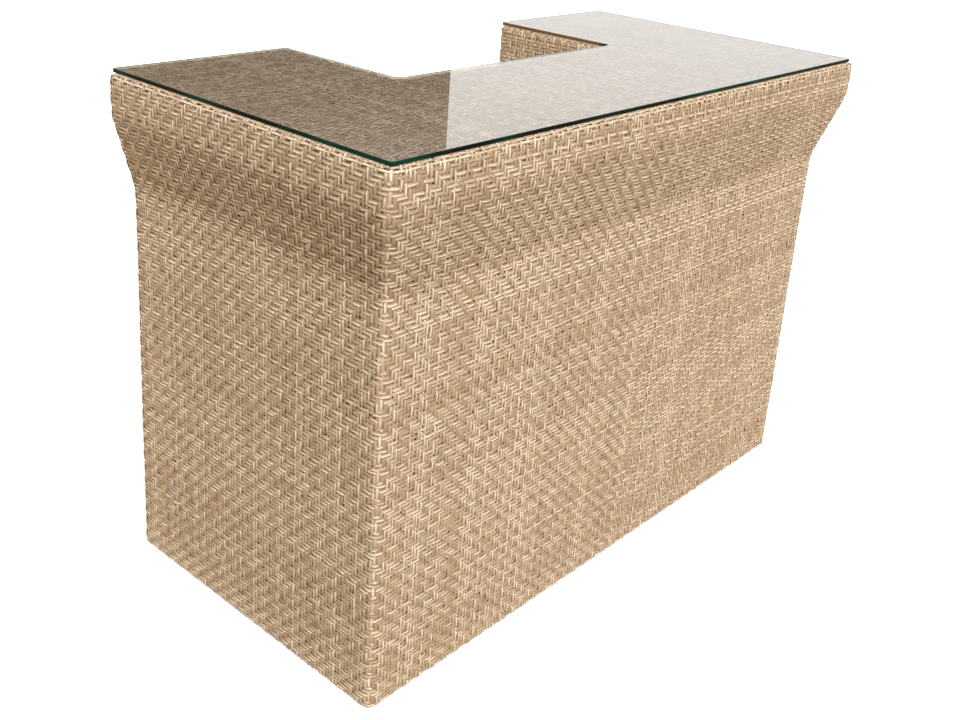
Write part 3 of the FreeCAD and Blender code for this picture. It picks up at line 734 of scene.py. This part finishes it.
def weave_bay():
    """The lining of the shelf bay, whose sides leave room for the counter's bottom rail."""
    columns, rows = round(2 * BAY_X / TARGET_PITCH), round((BAY_TOP - SKIN_BASE) / TARGET_PITCH)
    wide, tall = 2 * BAY_X / columns, (BAY_TOP - SKIN_BASE) / rows
    origin = (wide / 2 - BAY_X, BAY_BACK - MIDDLE, SKIN_BASE)
    weave = Weave(flat_panel(origin, (wide, 0, 0), (0, 0, tall), (0, 1, 0)))
    weave.wefts(range(rows), -0.5, columns - 0.5)
    weave.warps(range(columns), PANEL_GAP, float(rows))
    woven_piece("bay_back_weave", [weave], strand, ["bay_back"])

    deep = COUNTER_FACE - LINER_FACE
    columns = round(deep / TARGET_PITCH)
    wide = deep / columns
    rail_column = (COUNTER_RAIL_Y - LINER_FACE) / wide - 0.5
    rail_row = (COUNTER_RAIL_TOP - SKIN_BASE) / tall
    weaves = []
    for side in (1, -1):
        origin = (-side * (BAY_X + MIDDLE), LINER_FACE + wide / 2, SKIN_BASE)
        weave = Weave(flat_panel(origin, (0, wide, 0), (0, 0, tall), (side, 0, 0)))
        for row in range(rows):
            weave.weft(row, -0.5, columns - 0.5 if row > rail_row else rail_column)
        for column in range(columns):
            weave.warp(column, PANEL_GAP if column < rail_column - 0.5 else rail_row, float(rows))
        weaves.append(weave)
    woven_piece("bay_sides_weave", weaves, strand, ["bay_sides"])


def weave_shelves():
    """The sleeves of the two shelves."""
    around = 2 * (SHELF_FRONT - SHELF_BACK) + SHELF_THICKNESS
    columns, rows = round(2 * SHELF_HALF / TARGET_PITCH), round(around / TARGET_PITCH)
    for name, top in SHELF_TOPS.items():
        weave = Weave(shelf_sleeve(top, columns, rows))
        weave.wefts(range(rows), -0.5, columns - 0.5)
        weave.warps(range(columns), PANEL_GAP, rows - PANEL_GAP)
        woven_piece(f"{name}_shelf_weave", [weave], strand, [f"{name}_shelf"])


def finish_solids():
    """The finishes of the CAD nodes that aren't woven."""
    finishes = {
        "frame": coat_material("frame_powder_coat", colour(92, 74, 54), colour(126, 103, 78), 0.4, 900.0),
        "glass": glass_material(),
        "bumper": pad_material(),
        "foot": coat_material("black_nylon", colour(22, 22, 23), colour(40, 40, 41), 0.45, 700.0),
        "bush": coat_material("bush_nylon", colour(30, 30, 31), colour(48, 48, 49), 0.5, 700.0),
    }
    for subpart in frame["record"]["subparts"]:
        finish = finishes.get(subpart["material_slot"])
        if finish:
            node = frame["nodes"][subpart["node"]]
            node.data.materials.clear()
            node.data.materials.append(finish)


def four_sided(name, corners, material):
    """A stage piece of one face."""
    mesh = bpy.data.meshes.new(name)
    mesh.from_pydata(corners, [], [(0, 1, 2, 3)])
    mesh.materials.append(material)
    piece = bpy.data.objects.new(name, mesh)
    bpy.context.scene.collection.objects.link(piece)
    return piece


def white_floor(reach=14.0):
    """A pale floor, white to the camera, apart from under the bar, where its glow stops as a painted shadow,
    so gaps in the weave stay dark.
    """
    material, shade = new_material("white_floor")
    seen = shade.make("LightPath", out="Is Camera Ray")
    place = shade.make("TexCoord", out="Object")
    aside, y = place.part(0).size(), place.part(1)
    counter = y.fall(-0.01, 0.04)
    wing = aside.step(0.37, 0.39) * y.fall(0.34, 0.365)
    # painted shadow: no glow under the bar
    shadow_under_bar = aside.fall(0.70, 0.73) * y.step(-0.335, -0.31) * counter.most(wing)
    glow = (seen * (1.0 - shadow_under_bar)).mix(grey(0.0), grey(0.82))
    warm_bounce = (0.355, 0.305, 0.215, 1.0)
    show(shade, shade.make("BsdfPrincipled", {}, {
        "Base Color": seen.mix(warm_bounce, grey(0.4)), "Roughness": 0.9, "Specular IOR Level": 0.0,
        "Emission Color": glow, "Emission Strength": 1.0}))
    corners = [(-reach, -reach, 0), (reach, -reach, 0), (reach, reach, 0), (-reach, reach, 0)]
    floor = four_sided("floor", corners, material)


def studio_world():
    """White to the camera and in reflections, and a soft warm light on the bar."""
    world = bpy.data.worlds.new("studio")
    bpy.context.scene.world = world
    world.use_nodes = True
    world.node_tree.nodes.clear()
    shade = Shade(world.node_tree)
    camera, glossy, through = (shade.make("LightPath", out=name) for name in
                               ("Is Camera Ray", "Is Glossy Ray", "Is Transmission Ray"))
    soft_light = (0.343, 0.308, 0.258, 1.0)
    tone = camera.most(glossy).most(through).mix(soft_light, grey(1.0))
    shade.make("OutputWorld", {}, {"Surface": shade.make("Background", {}, {"Color": tone, "Strength": 1.0})})


def key_light(towards, spread_angle, strength, tint):
    """A soft key light from far off, so that it falls off nowhere."""
    lamp = bpy.data.lights.new("key_light", "SUN")
    lamp.angle, lamp.energy, lamp.color = math.radians(spread_angle), strength, tint
    key = bpy.data.objects.new("key_light", lamp)
    key.rotation_mode = "QUATERNION"
    key.rotation_quaternion = Vector(towards).to_track_quat("Z", "Y")
    bpy.context.scene.collection.objects.link(key)


def softbox(name, place, target, size, power, tint=(1.0, 1.0, 1.0), mirrored=False):
    """A square soft lamp that faces a point, isn't seen itself and may show in reflections."""
    lamp = bpy.data.lights.new(name, "AREA")
    lamp.shape, lamp.size, lamp.energy, lamp.color = "SQUARE", size, power, tint
    box = bpy.data.objects.new(name, lamp)
    box.location = place
    box.rotation_mode = "QUATERNION"
    box.rotation_quaternion = (Vector(target) - Vector(place)).to_track_quat("-Z", "Y")
    box.visible_camera = False
    box.visible_glossy = box.visible_transmission = mirrored
    bpy.context.scene.collection.objects.link(box)


def studio_lamps():
    """The key light, a cool window that the glass mirrors, and fills for the sides that the key misses."""
    key_light(towards=(-0.335, -0.628, 0.703), spread_angle=8.0, strength=4.32, tint=(0.98, 1.0, 1.07))
    softbox("back_window", (3.72, 2.54, 2.3), target=(0.0, -0.3, 1.2), size=3.4, power=1.8,
            tint=(0.1, 0.5, 1.0), mirrored=True)
    softbox("back_fill", (3.6, 4.4, 2.2), target=(0.3, 0.0, 0.55), size=2.2, power=230.0)
    softbox("bay_fill", (-0.6, 5.0, 1.5), target=(0.0, 0.0, 0.5), size=1.6, power=100.0)
    softbox("left_fill", (-3.0, 2.6, 0.5), target=(-0.78, 0.2, 0.6), size=1.6, power=7.0,
            tint=(1.0, 0.93, 0.84))


def dark_card():
    """A dark wall far behind the bar, which only the glass mirrors, over the left part of its top."""
    near_edge, far_edge, low, high = (2.459, 2.501), (-1.6, 4.6), 0.0, 4.0
    material, shade = new_material("dark_card")
    height = shade.make("TexCoord", out="Object").part(2)
    tone = height.step(1.9, 2.6).mix(grey(0.08), (0.29, 0.28, 0.3, 1.0))
    mirrored = shade.make("LightPath", out="Glossy Depth").step(0.0, 1.0)
    clear = shade.make("BsdfTransparent")
    dark = shade.make("Emission", {}, {"Color": tone, "Strength": 1.0})
    show(shade, shade.make("MixShader", {}, {0: mirrored, 1: clear, 2: dark}))
    corners = [(*near_edge, low), (*far_edge, low), (*far_edge, high), (*near_edge, high)]
    card = four_sided("dark_card", corners, material)
    card.visible_camera = card.visible_diffuse = card.visible_shadow = False


def photo_camera():
    """The camera at the photo's place, with the lens and the shift that its framing needs."""
    data = bpy.data.cameras.new("camera")
    camera = bpy.data.objects.new("camera", data)
    bpy.context.scene.collection.objects.link(camera)
    bpy.context.scene.camera = camera
    turn = Vector((1.809, -0.753, 0.623))   # along its axis, as long as its angle in radians
    right, down, ahead = Quaternion(turn.normalized(), turn.length).to_matrix()
    place = Matrix((right, -Vector(down), -Vector(ahead))).transposed().to_4x4()
    place.translation = (-1.947, -1.572, 1.560)
    camera.matrix_world = place
    data.sensor_width, data.lens, data.shift_y = 36.0, 43.6, -0.136
    data.clip_start, data.clip_end = 0.05, 60.0


weave_front()
weave_wing(1, "left")
weave_wing(-1, "right")
weave_apron()
weave_deck()
weave_bay()
weave_shelves()
finish_solids()
white_floor()
studio_world()
studio_lamps()
dark_card()
photo_camera()
bpy.context.scene.view_settings.view_transform = "Standard"
